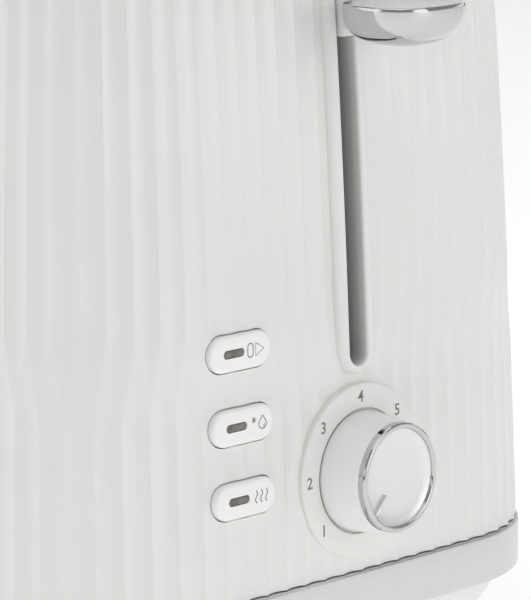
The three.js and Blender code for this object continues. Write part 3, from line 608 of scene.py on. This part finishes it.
def make_lever_surround():
    """A smooth frame round the lever slot. It follows the casing's lean, stands a
    little proud of the flutes and turns in deep at the slot."""
    low, high, half = surround_outline()
    slot_half = half - 3.5 * MM
    slot_low = low + 2.4 * MM
    slot_high = high - 2.4 * MM
    across = [  # share of the way from the outer edge to the slot, height above the casing
        (0.0, -1.8), (0.0, -0.9), (0.05, -0.1), (0.13, 0.42), (0.26, 0.86), (0.42, 1.18), (0.6, 1.36),
        (0.76, 1.4), (0.87, 1.32), (0.95, 1.08), (0.99, 0.8), (1.0, 0.45), (1.0, -9.0), (0.7, -9.0),
        (0.6, -1.8),
    ]
    half_turn = 48
    straight = 40
    columns = 2 * (half_turn + straight)

    def on_pill(column, share):
        """A point in Y and Z on a pill between the frame's outer edge and the slot."""
        radius = half + (slot_half - half) * share
        bottom = low + (slot_low - low) * share + radius
        top = high + (slot_high - high) * share - radius
        if column < half_turn:
            angle = math.pi * column / half_turn
            return radius * math.cos(angle), top + radius * math.sin(angle)
        if column < half_turn + straight:
            return -radius, top + (bottom - top) * (column - half_turn) / straight
        if column < 2 * half_turn + straight:
            angle = math.pi + math.pi * (column - half_turn - straight) / half_turn
            return radius * math.cos(angle), bottom + radius * math.sin(angle)
        return radius, bottom + (top - bottom) * (column - 2 * half_turn - straight) / straight

    def leaning_face(z):
        if z <= SHOULDER:
            return face_x(z)
        rise = math.asin(min(1.0, (z - SHOULDER) / SHOULDER_DROP))
        return MIDDLE_X + LENGTH / 2 - TOP_INSET + SHOULDER_REACH * math.cos(rise)

    def place(column, row):
        share, above = across[row]
        y, z = on_pill(column, share)
        return Vector((leaning_face(z) + above * MM, y, z))

    # a grey sheet set inside the slot to carry painted shade; its finish darkens it with depth
    lining = [(1.01, 0.3), (1.01, -2.0), (1.01, -4.5), (1.01, -7.0), (1.01, -9.0), (0.9, -9.0), (0.9, 0.1)]

    def place_lining(column, row):
        share, above = lining[row]
        y, z = on_pill(column, share)
        return Vector((leaning_face(z) + above * MM, y, z))

    shade_sheet_bm = skin(columns, len(lining), place_lining, closed_across=True)
    belongs(finished(shade_sheet_bm, "lever_slot_shade_sheet", PAINTED_SLOT_SHADE), "toaster_body")

    frame_bm = skin(columns, len(across), place, closed_across=True)
    stand_in(finished(frame_bm, "lever_frame", FINISHES["casing_white"], sharp=60),
             "lever_surround")


# ---------------------------------------------------------------- foot of the toaster
def make_band():
    profile = filleted([(0.0, band_low.z), (0.0, band_high.z), (4 * MM, band_high.z),
                        (4 * MM, band_low.z)], [0.7 * MM, 0.7 * MM, 0, 0], 4)
    columns = 400
    outer = (band_high.x - band_low.x - LENGTH) / 2

    def place(column, row):
        inset, z = profile[row]
        point = outline(column / columns, inset - outer)
        point.z = z
        return point

    band = finished(skin(columns, len(profile), place, closed_across=True), "foot_band",
                    FINISHES["satin_band"])
    stand_in(band, "trim_band")


def make_pan():
    """The white base: it draws in under the band and is hollow above its floor."""
    floor = 2.2 * MM
    wall = 2.2 * MM
    outside = [(5.0, pan_high.z), (5.4, 14.5 * MM), (7.0, 11.4 * MM), (9.5, 8.0 * MM),
               (12.0, 6.0 * MM), (14.5, 5.05 * MM), (16.5, pan_low.z)]
    rows = [(inset * MM, z) for inset, z in outside]
    rows += [(60 * MM, pan_low.z), (60 * MM, pan_low.z + floor), (17 * MM, pan_low.z + floor)]
    rows += [((5.2 * MM + wall), pan_high.z - 3 * MM), (5 * MM + wall, pan_high.z)]
    columns = 240

    def shrunk(share, inset):
        """Like outline, but past the corner radius it shrinks towards the middle."""
        if inset < CORNER - 2 * MM:
            return outline(share, inset)
        rim = outline(share, CORNER - 2 * MM)
        factor = 1 - (inset - CORNER + 2 * MM) / (WIDTH / 2 - CORNER + 2 * MM)
        return Vector((MIDDLE_X + (rim.x - MIDDLE_X) * factor, rim.y * factor, 0))

    def place(column, row):
        inset, z = rows[row]
        point = shrunk(column / columns, inset)
        point.z = z
        return point

    bm = skin(columns, len(rows), place, closed_across=True)
    pan = finished(bm, "base", FINISHES["base_white"])
    tray_low, tray_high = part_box("crumb_tray")
    gland_low, gland_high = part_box("cord_gland")
    bay = block((shell_low.x - 10 * MM, tray_low.y - GAP, pan_low.z + floor),
                (shell_low.x + 56 * MM, tray_high.y + GAP, pan_high.z + 2 * MM))
    hole = bmesh.new()
    bmesh.ops.create_cone(hole, cap_ends=True, segments=48, radius1=6.3 * MM, radius2=6.3 * MM,
                          depth=20 * MM)
    bmesh.ops.translate(hole, verts=hole.verts,
                        vec=((gland_low.x + gland_high.x) / 2, (gland_low.y + gland_high.y) / 2, 6 * MM))
    carve(pan, merged(bay, hole))
    stand_in(pan, "base_pan")


def make_feet():
    for index in range(1, 5):
        low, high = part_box(f"foot_{index}")
        radius = (high.x - low.x) / 2
        profile = [(0, 0.4 * MM), (radius - 3 * MM, 0.4 * MM), (radius - 3.4 * MM, 0), (radius, 0),
                   (radius - 0.6 * MM, high.z), (0, high.z)]
        radii = [0, 0, 0.1 * MM, 0.8 * MM, 0.2 * MM, 0]
        bm = turned(profile, radii, (0, 0, 0), steps=48)
        bmesh.ops.rotate(bm, verts=bm.verts, cent=(0, 0, 0), matrix=Matrix.Rotation(-math.pi / 2, 3, "Y"))
        bmesh.ops.translate(bm, verts=bm.verts,
                            vec=((low.x + high.x) / 2, (low.y + high.y) / 2, 0))
        stand_in(finished(bm, f"rubber_foot_{index}", FINISHES["foot_rubber"]),
                 f"foot_{index}")


# ---------------------------------------------------------------- top
def rounded_box_point(share, length, width, radius):
    """A point on a rounded rectangle about the origin, by its share of the way round."""
    end, side = width / 2 - radius, length / 2 - radius
    arc = radius * math.pi / 2
    quarter = end + arc + side
    distance = (share % 1) * 4 * quarter
    turn = int(distance // quarter) % 4
    along = distance - turn * quarter
    if turn % 2:
        along = quarter - along
    if along <= end:
        x, y = length / 2, along
    elif along <= end + arc:
        angle = (along - end) / radius
        x, y = side + radius * math.cos(angle), end + radius * math.sin(angle)
    else:
        x, y = side - (along - end - arc), width / 2
    return Vector((-x if turn in (1, 2) else x, -y if turn in (2, 3) else y, 0))


def make_top_plate():
    """The brushed plate with its two bread slots, their edges rolled down inside."""
    columns = 320
    inset = OPENING_INSET + GAP
    edge = [(inset, plate_high.z - 1.5 * MM), (inset, plate_high.z - 0.3 * MM),
            (inset + 0.3 * MM, plate_high.z)]
    rows = edge + [(inset + 8 * MM, plate_high.z), (inset + 8 * MM, plate_high.z - 1.5 * MM)]

    def place_edge(column, row):
        distance, z = rows[row]
        point = outline(column / columns, distance)
        point.z = z
        return point

    border = skin(columns, len(rows), place_edge, closed_across=True)
    bmesh.ops.delete(border, context="FACES",
                     geom=[f for f in border.faces
                           if all(abs(v.co.z - rows[3][1]) < 1e-7 or abs(v.co.z - rows[4][1]) < 1e-7
                                  for v in f.verts) and abs(f.normal.z) < 0.1])
    bmesh.ops.holes_fill(border, edges=[e for e in border.edges if e.is_boundary], sides=0)
    plate = finished(border, "top_panel", FINISHES["brushed_top"])

    guard = {side: [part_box(f"guard_{side}_{part}") for part in ("inner", "outer")]
             for side in ("left", "right")}
    slots = []
    for side, boxes in guard.items():
        sign = 1 if side == "right" else -1
        near = min(abs(corner.y) for pair in boxes for corner in pair)
        far = max(abs(corner.y) for pair in boxes for corner in pair)
        middle_y = sign * (near + far) / 2
        width = far - near + 3.4 * MM
        x0 = boxes[0][0].x - 1 * MM
        x1 = boxes[0][1].x + 1 * MM
        slots.append(((x0 + x1) / 2, middle_y, x1 - x0, width))
    cutters = []
    for x, y, length, width in slots:
        cutters.append(block((x - length / 2 - 0.6 * MM, y - width / 2 - 0.6 * MM, plate_high.z - 9 * MM),
                             (x + length / 2 + 0.6 * MM, y + width / 2 + 0.6 * MM, plate_high.z + 9 * MM)))
    carve(plate, merged(*cutters))
    stand_in(plate, "top_plate")

    rim = [(-2.2, -0.02), (-1.7, 0.0), (-1.0, 0.0), (-0.45, -0.16), (-0.12, -0.5), (0.0, -1.0),
           (0.0, -10.0), (-0.7, -10.0), (-0.9, -1.3), (-2.2, -0.7)]
    for number, (x, y, length, width) in enumerate(slots, 1):
        def place_rim(column, row, x=x, y=y, length=length, width=width):
            out, up = rim[row]
            grow = -2 * out * MM
            point = rounded_box_point(column / 160, length + grow, width + grow, 3 * MM - out * MM)
            return Vector((x + point.x, y + point.y, plate_high.z + up * MM))

        bm = skin(160, len(rim), place_rim, closed_across=True)
        belongs(finished(bm, f"slot_lining_{number}", FINISHES["brushed_top"], sharp=50),
                "toaster_body")


# ---------------------------------------------------------------- bread guards
def wire(bm, start, end, radius, sides=10):
    """A straight round wire between two points, added to a bmesh."""
    start, end = Vector(start), Vector(end)
    along = end - start
    turn = along.to_track_quat("Z", "Y").to_matrix().to_4x4()
    matrix = Matrix.Translation((start + end) / 2) @ turn
    bmesh.ops.create_cone(bm, cap_ends=True, segments=sides, radius1=radius, radius2=radius,
                          depth=along.length, matrix=matrix)


def make_guards():
    bars = 11
    radius = 0.8 * MM
    for name in ("left_outer", "left_inner", "right_inner", "right_outer"):
        low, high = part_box("guard_" + name)
        y = (low.y + high.y) / 2
        bm = bmesh.new()
        for z in (low.z + radius, (low.z + high.z) / 2, high.z - radius):
            wire(bm, (low.x, y, z), (high.x, y, z), radius * 0.95)
        for bar in range(bars):
            x = low.x + radius + (high.x - low.x - 2 * radius) * bar / (bars - 1)
            wire(bm, (x, y, low.z), (x, y, high.z), radius)
        stand_in(finished(bm, "bread_guard_" + name, FINISHES["guard_wire"]), "guard_" + name)


# ---------------------------------------------------------------- lever
def make_lever():
    low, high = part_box("lever_knob")
    centre = (low + high) / 2
    depth, width, thickness = high - low
    radius = depth / 2
    half = thickness / 2
    power = 2.5
    squareness = 2.62
    steps = 16
    bowl = []
    for step in range(steps):
        angle = step / steps * math.pi / 2
        bowl.append((radius * math.sin(angle) ** (2 / power),
                     half * 0.84 - (half * 1.84) * math.cos(angle) ** (2 / power)))
    rim = filleted([bowl[-1], (radius, half * 0.84), (radius * 0.975, half), (radius * 0.8, half * 0.98),
                    (0, half * 0.95)], [0, 0.3 * MM, 0.4 * MM, 0, 0], 4)
    profile = bowl[:-1] + [tuple(point) for point in rim]
    bm = turned(profile, [0] * len(profile), (0, 0, 0), steps=128)
    bmesh.ops.rotate(bm, verts=bm.verts, cent=(0, 0, 0), matrix=Matrix.Rotation(-math.pi / 2, 3, "Y"))
    for vertex in bm.verts:
        reach = vertex.co.xy.length
        if reach > 1e-7:
            across, along = abs(vertex.co.x / reach), abs(vertex.co.y / reach)
            vertex.co.xy *= (across ** squareness + along ** squareness) ** (-1 / squareness)
    bmesh.ops.scale(bm, verts=bm.verts, vec=(1, width / depth, 1))
    bmesh.ops.translate(bm, verts=bm.verts, vec=centre)
    stand_in(finished(bm, "lever_paddle", FINISHES["chrome"], sharp=70), "lever_knob")

    arm_low, arm_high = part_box("lever_arm")
    blade_end = face_x(centre.z) + 2.8 * MM
    blade = block(arm_low, (blade_end, arm_high.y, arm_high.z), 0.6 * MM)
    neck_half = 2.5 * MM
    neck = block((blade_end - 2 * MM, arm_low.y + 0.1 * MM, centre.z - neck_half),
                 (arm_high.x, arm_high.y - 0.1 * MM, centre.z + neck_half), 0.6 * MM)
    stand_in(finished(merged(blade, neck), "lever_stem", FINISHES["lever_grey"]),
             "lever_arm")


# ---------------------------------------------------------------- browning dial
def make_numeral(text, y, z, x, height):
    curve = bpy.data.curves.new("numeral", "FONT")
    curve.body = text
    curve.size = height / 0.7
    curve.offset = 0.06 * MM
    curve.resolution_u = 6
    curve.extrude = 0.03 * MM
    text_object = bpy.data.objects.new("numeral", curve)
    bpy.context.scene.collection.objects.link(text_object)
    bpy.context.view_layer.update()
    mesh = bpy.data.meshes.new_from_object(
        text_object.evaluated_get(bpy.context.evaluated_depsgraph_get()))
    bpy.data.objects.remove(text_object)
    bm = bmesh.new()
    bm.from_mesh(mesh)
    bpy.data.meshes.remove(mesh)
    right = [v.co.x for v in bm.verts]
    up = [v.co.y for v in bm.verts]
    middle = Vector(((min(right) + max(right)) / 2, (min(up) + max(up)) / 2, 0))
    bmesh.ops.translate(bm, verts=bm.verts, vec=-middle)
    bmesh.ops.transform(bm, matrix=Matrix.Translation((x, y, z)) @ TURN_UP, verts=bm.verts)
    return bm


def make_dial():
    low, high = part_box("dial_scale")
    radius = (high.y - low.y) / 2
    thick = high.x - low.x
    centre = Vector((low.x, (low.y + high.y) / 2, (low.z + high.z) / 2))
    recess = 15.8 * MM
    floor = thick - 0.9 * MM
    disc = turned([(3.4 * MM, 0), (radius, 0), (radius, thick), (recess, thick), (recess, floor),
                   (3.4 * MM, floor), (3.4 * MM, 0)],
                  [0, 0, 0.5 * MM, 0.15 * MM, 0, 0, 0], centre, steps=160)
    stand_in(finished(disc, "scale_disc", FINISHES["casing_white"]), "dial_scale")

    numerals = []
    places = ((-14.2, -12.8), (-19.3, 0.0), (-14.2, 13.0), (-0.4, 18.9), (13.3, 13.4))
    for number, (y, z) in enumerate(places, 1):
        numerals.append(make_numeral(str(number), centre.y + y * MM, centre.z + z * MM, high.x, 2.9 * MM))
    belongs(finished(merged(*numerals), "scale_numbers", INK), "toaster_body")

    knob_low, knob_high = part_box("dial_knob")
    back = (knob_high.y - knob_low.y) / 2
    axis = Vector((knob_low.x, centre.y, centre.z))
    body_length = knob_high.x - knob_low.x
    front = 13.8 * MM
    knob = turned([(3.3 * MM, 0), (back, 0), (front + 0.1 * MM, body_length), (front - 2 * MM, body_length),
                   (0, body_length)], [0, 0.5 * MM, 0.25 * MM, 0, 0], axis, steps=128)
    stand_in(finished(knob, "dial_body", FINISHES["knob_white"]), "dial_knob")

    ring_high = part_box("dial_ring")[1].x - knob_low.x
    ring = turned([(front - 1.9 * MM, body_length + 0.1 * MM), (front, body_length + 0.1 * MM),
                   (front - 0.1 * MM, ring_high), (front - 1.5 * MM, ring_high),
                   (front - 1.9 * MM, body_length + 0.1 * MM)],
                  [0, 0, 0.6 * MM, 0.6 * MM, 0], axis, steps=128, fillet_steps=6)
    stand_in(finished(ring, "dial_lip", FINISHES["chrome"], sharp=60), "dial_ring")

    dish_edge = front - 1.5 * MM
    level = ring_high
    dish = turned([(dish_edge, level - 0.75 * MM), (dish_edge - 0.9 * MM, level - 1.25 * MM),
                   (dish_edge - 2.2 * MM, level - 1.55 * MM), (dish_edge - 4.5 * MM, level - 1.7 * MM),
                   (0, level - 1.75 * MM)], [0] * 5, axis, steps=128)
    pointer = block((level - 2.2 * MM, 5.6 * MM, -0.45 * MM), (level - 0.75 * MM, 11.6 * MM, 0.45 * MM),
                    0.3 * MM, 3)
    turn = Matrix.Rotation(math.radians(225), 4, "X")
    bmesh.ops.transform(pointer, matrix=Matrix.Translation(axis) @ turn, verts=pointer.verts)
    stand_in(finished(merged(dish, pointer), "dial_dish", FINISHES["spun_cap"], sharp=40),
             "dial_cap")


# ---------------------------------------------------------------- buttons
BUTTONS = ("cancel", "defrost", "reheat")


def line_art(name, strokes, centre_y, centre_z, x):
    """Thin printed lines. Each stroke is a list of (y, z) points in mm, and a stroke
    that ends where it starts is closed."""
    curve = bpy.data.curves.new(name, "CURVE")
    curve.dimensions = "3D"
    curve.bevel_depth = 0.17 * MM
    curve.bevel_resolution = 1
    for stroke in strokes:
        closed = stroke[0] == stroke[-1]
        points = stroke[:-1] if closed else stroke
        spline = curve.splines.new("POLY")
        spline.points.add(len(points) - 1)
        for point, (y, z) in zip(spline.points, points):
            point.co = (x, centre_y + y * MM, centre_z + z * MM, 1)
        spline.use_cyclic_u = closed
    drawn = bpy.data.objects.new(name, curve)
    bpy.context.scene.collection.objects.link(drawn)
    bpy.context.view_layer.update()
    mesh = bpy.data.meshes.new_from_object(drawn.evaluated_get(bpy.context.evaluated_depsgraph_get()))
    bpy.data.objects.remove(drawn)
    bm = bmesh.new()
    bm.from_mesh(mesh)
    bpy.data.meshes.remove(mesh)
    flat = Matrix.Translation((x, 0, 0)) @ Matrix.Diagonal((0.35, 1, 1, 1)) @ Matrix.Translation((-x, 0, 0))
    bmesh.ops.transform(bm, matrix=flat, verts=bm.verts)
    return finished(bm, name, INK)


def arc(centre_y, centre_z, radius_y, radius_z, start, end, steps=14):
    return [(centre_y + radius_y * math.cos(math.radians(start + (end - start) * i / steps)),
             centre_z + radius_z * math.sin(math.radians(start + (end - start) * i / steps)))
            for i in range(steps + 1)]


def cancel_mark():
    bar = arc(-1.95, 0.75, 0.95, 0.95, 0, 180) + arc(-1.95, -0.75, 0.95, 0.95, 180, 360)
    bar.append(bar[0])
    triangle = [(-0.1, 1.6), (2.8, 0.0), (-0.1, -1.6), (-0.1, 1.6)]
    return [bar, triangle]


def defrost_mark():
    flake = [[(-1.7 + 0.75 * math.cos(a), 0.85 + 0.75 * math.sin(a)),
              (-1.7 - 0.75 * math.cos(a), 0.85 - 0.75 * math.sin(a))]
             for a in (math.radians(30), math.radians(90), math.radians(150))]
    drop = [(1.4, 1.7)] + arc(1.4, -0.45, 1.35, 1.15, 35, -215) + [(1.4, 1.7)]
    glint = arc(1.4, -0.45, 0.7, 0.6, -70, 0, 6)
    return [*flake, drop, glint]


def reheat_mark():
    waves = []
    for shift in (-1.8, 0.0, 1.8):
        waves.append([(shift + 0.45 * math.sin(2 * math.pi * i / 16) + 0.02 * i, 1.55 - 3.1 * i / 16)
                      for i in range(17)])
    return waves


def make_buttons():
    marks = {"cancel": cancel_mark(), "defrost": defrost_mark(), "reheat": reheat_mark()}
    for name in BUTTONS:
        low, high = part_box("button_" + name)
        window_low, window_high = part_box("window_" + name)
        y, z = (low.y + high.y) / 2, (low.z + high.z) / 2
        window_y = (window_low.y + window_high.y) / 2
        window_width = window_high.y - window_low.y
        window_height = window_high.z - window_low.z
        cap = finished(pill(y, z, high.y - low.y, high.z - low.z, high.x - 6 * MM, high.x, 0.9 * MM, 6),
                       "button_cap_" + name, FINISHES["knob_white"])
        pocket = pill(window_y, z, window_width + 0.2 * MM, window_height + 0.2 * MM,
                      high.x - 0.8 * MM, high.x + 1 * MM)
        carve(cap, pocket)
        stand_in(cap, "button_" + name)
        lens = pill(window_y, z, window_width, window_height, high.x - 0.9 * MM, high.x - 0.15 * MM,
                    0.2 * MM, 3)
        stand_in(finished(lens, "light_window_" + name, FINISHES["smoked_window"]),
                 "window_" + name)
        mark = line_art("mark_" + name, marks[name], y + 5.0 * MM, z, high.x)
        belongs(mark, name + "_button")


# ---------------------------------------------------------------- works that show through the openings
def finish_cad_nodes():
    slots = {part["node"]: part["material_slot"] for part in frame["record"]["subparts"]}
    for name, node in frame["nodes"].items():
        node.data.materials.clear()
        node.data.materials.append(FINISHES[slots[name]])


def make_spring():
    """The lift spring, which hooks to the chassis above and the carriage below; drawn as a plain coil in
    the CAD spring's box, without hooks.
    """
    low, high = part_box("lift_spring")
    centre = (low + high) / 2
    radius = (high.x - low.x) / 2 - 0.4 * MM
    turns = 22
    steps = turns * 16
    curve = bpy.data.curves.new("spring_wire", "CURVE")
    curve.dimensions = "3D"
    curve.bevel_depth = 0.4 * MM
    curve.bevel_resolution = 2
    spline = curve.splines.new("POLY")
    spline.points.add(steps)
    for i, point in enumerate(spline.points):
        angle = 2 * math.pi * turns * i / steps
        point.co = (centre.x + radius * math.cos(angle), centre.y + radius * math.sin(angle),
                    low.z + 0.4 * MM + (high.z - low.z - 0.8 * MM) * i / steps, 1)
    drawn = bpy.data.objects.new("spring_wire", curve)
    bpy.context.scene.collection.objects.link(drawn)
    bpy.context.view_layer.update()
    mesh = bpy.data.meshes.new_from_object(drawn.evaluated_get(bpy.context.evaluated_depsgraph_get()))
    bpy.data.objects.remove(drawn)
    bm = bmesh.new()
    bm.from_mesh(mesh)
    bpy.data.meshes.remove(mesh)
    spring = finished(bm, "return_spring", FINISHES["zinc_steel"])
    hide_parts("lift_spring")
    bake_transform(spring)


finish_cad_nodes()
make_casing()
make_lever_surround()
make_band()
make_pan()
make_feet()
make_top_plate()
make_guards()
make_lever()
make_dial()
make_buttons()
make_spring()


# ---------------------------------------------------------------- floor, light and camera
def make_floor():
    bm = bmesh.new()
    bmesh.ops.create_grid(bm, x_segments=8, y_segments=8, size=9)
    material, tree, shader = new_finish("studio_floor", (0.94, 0.94, 0.94), 0.7)
    varied_colour(tree, shader, placed_noise(tree, 3), (0.93, 0.93, 0.93), (0.95, 0.95, 0.95))
    shader.inputs["Emission Color"].default_value = (1, 1, 1, 1)
    shader.inputs["Emission Strength"].default_value = 0.36
    floor = finished(bm, "studio_floor", material)


def area_light(name, azimuth, elevation, distance, size, power, aim=(0, 0, 0.1)):
    """A square softbox. Azimuth is where it stands, turned from -Y towards +X."""
    data = bpy.data.lights.new(name, "AREA")
    data.shape = "RECTANGLE"
    data.size, data.size_y = size
    data.energy = power
    lamp = bpy.data.objects.new(name, data)
    a, e = math.radians(azimuth), math.radians(elevation)
    away = Vector((math.sin(a) * math.cos(e), -math.cos(a) * math.cos(e), math.sin(e)))
    lamp.location = Vector(aim) + away * distance
    lamp.rotation_euler = away.to_track_quat("Z", "Y").to_euler()
    bpy.context.scene.collection.objects.link(lamp)


def make_light():
    world = bpy.data.worlds.new("studio")
    bpy.context.scene.world = world
    world.use_nodes = True
    background = world.node_tree.nodes["Background"]
    direction = world.node_tree.nodes.new("ShaderNodeTexCoord")
    parts = world.node_tree.nodes.new("ShaderNodeSeparateXYZ")
    ramp = world.node_tree.nodes.new("ShaderNodeValToRGB")
    shades = ((0.0, 0.4), (0.02, 0.12), (0.08, 0.12), (0.13, 1.05), (0.28, 1.05), (0.34, 0.32), (1.0, 0.32))
    while len(ramp.color_ramp.elements) < len(shades):
        ramp.color_ramp.elements.new(0.5)
    for element, (position, shade) in zip(ramp.color_ramp.elements, shades):
        element.position = position
        element.color = (shade, shade, shade, 1)
    world.node_tree.links.new(direction.outputs["Generated"], parts.inputs["Vector"])
    world.node_tree.links.new(parts.outputs["Z"], ramp.inputs["Fac"])
    world.node_tree.links.new(ramp.outputs["Color"], background.inputs["Color"])
    background.inputs["Strength"].default_value = 1.0
    area_light("overhead_softbox", 0, 88, 1.9, (2.2, 2.2), 15.5)
    area_light("left_softbox", -38, 22, 1.5, (1.0, 1.2), 3.8)
    area_light("right_softbox", 98, 20, 1.5, (0.8, 1.2), 3.4)
    bpy.context.scene.view_settings.view_transform = "Standard"


def make_camera():
    data = bpy.data.cameras.new("camera")
    data.lens = 252.68
    data.clip_end = 60
    camera = bpy.data.objects.new("camera", data)
    azimuth, elevation, roll = (math.radians(a) for a in (42.582, 10.258, -0.447))
    distance = 1.0335
    away = Vector((math.sin(azimuth) * math.cos(elevation), -math.cos(azimuth) * math.cos(elevation),
                   math.sin(elevation)))
    lever_end = MIDDLE_X + LENGTH / 2
    aim = Vector((lever_end - 17.1 * MM, -16.1 * MM, 98.3 * MM))
    camera.location = aim + away * distance
    facing = away.to_track_quat("Z", "Y").to_matrix()
    camera.rotation_euler = (facing @ Matrix.Rotation(roll, 3, "Z")).to_euler()
    bpy.context.scene.collection.objects.link(camera)
    bpy.context.scene.camera = camera


make_floor()
make_light()
make_camera()

bpy.context.view_layer.update()
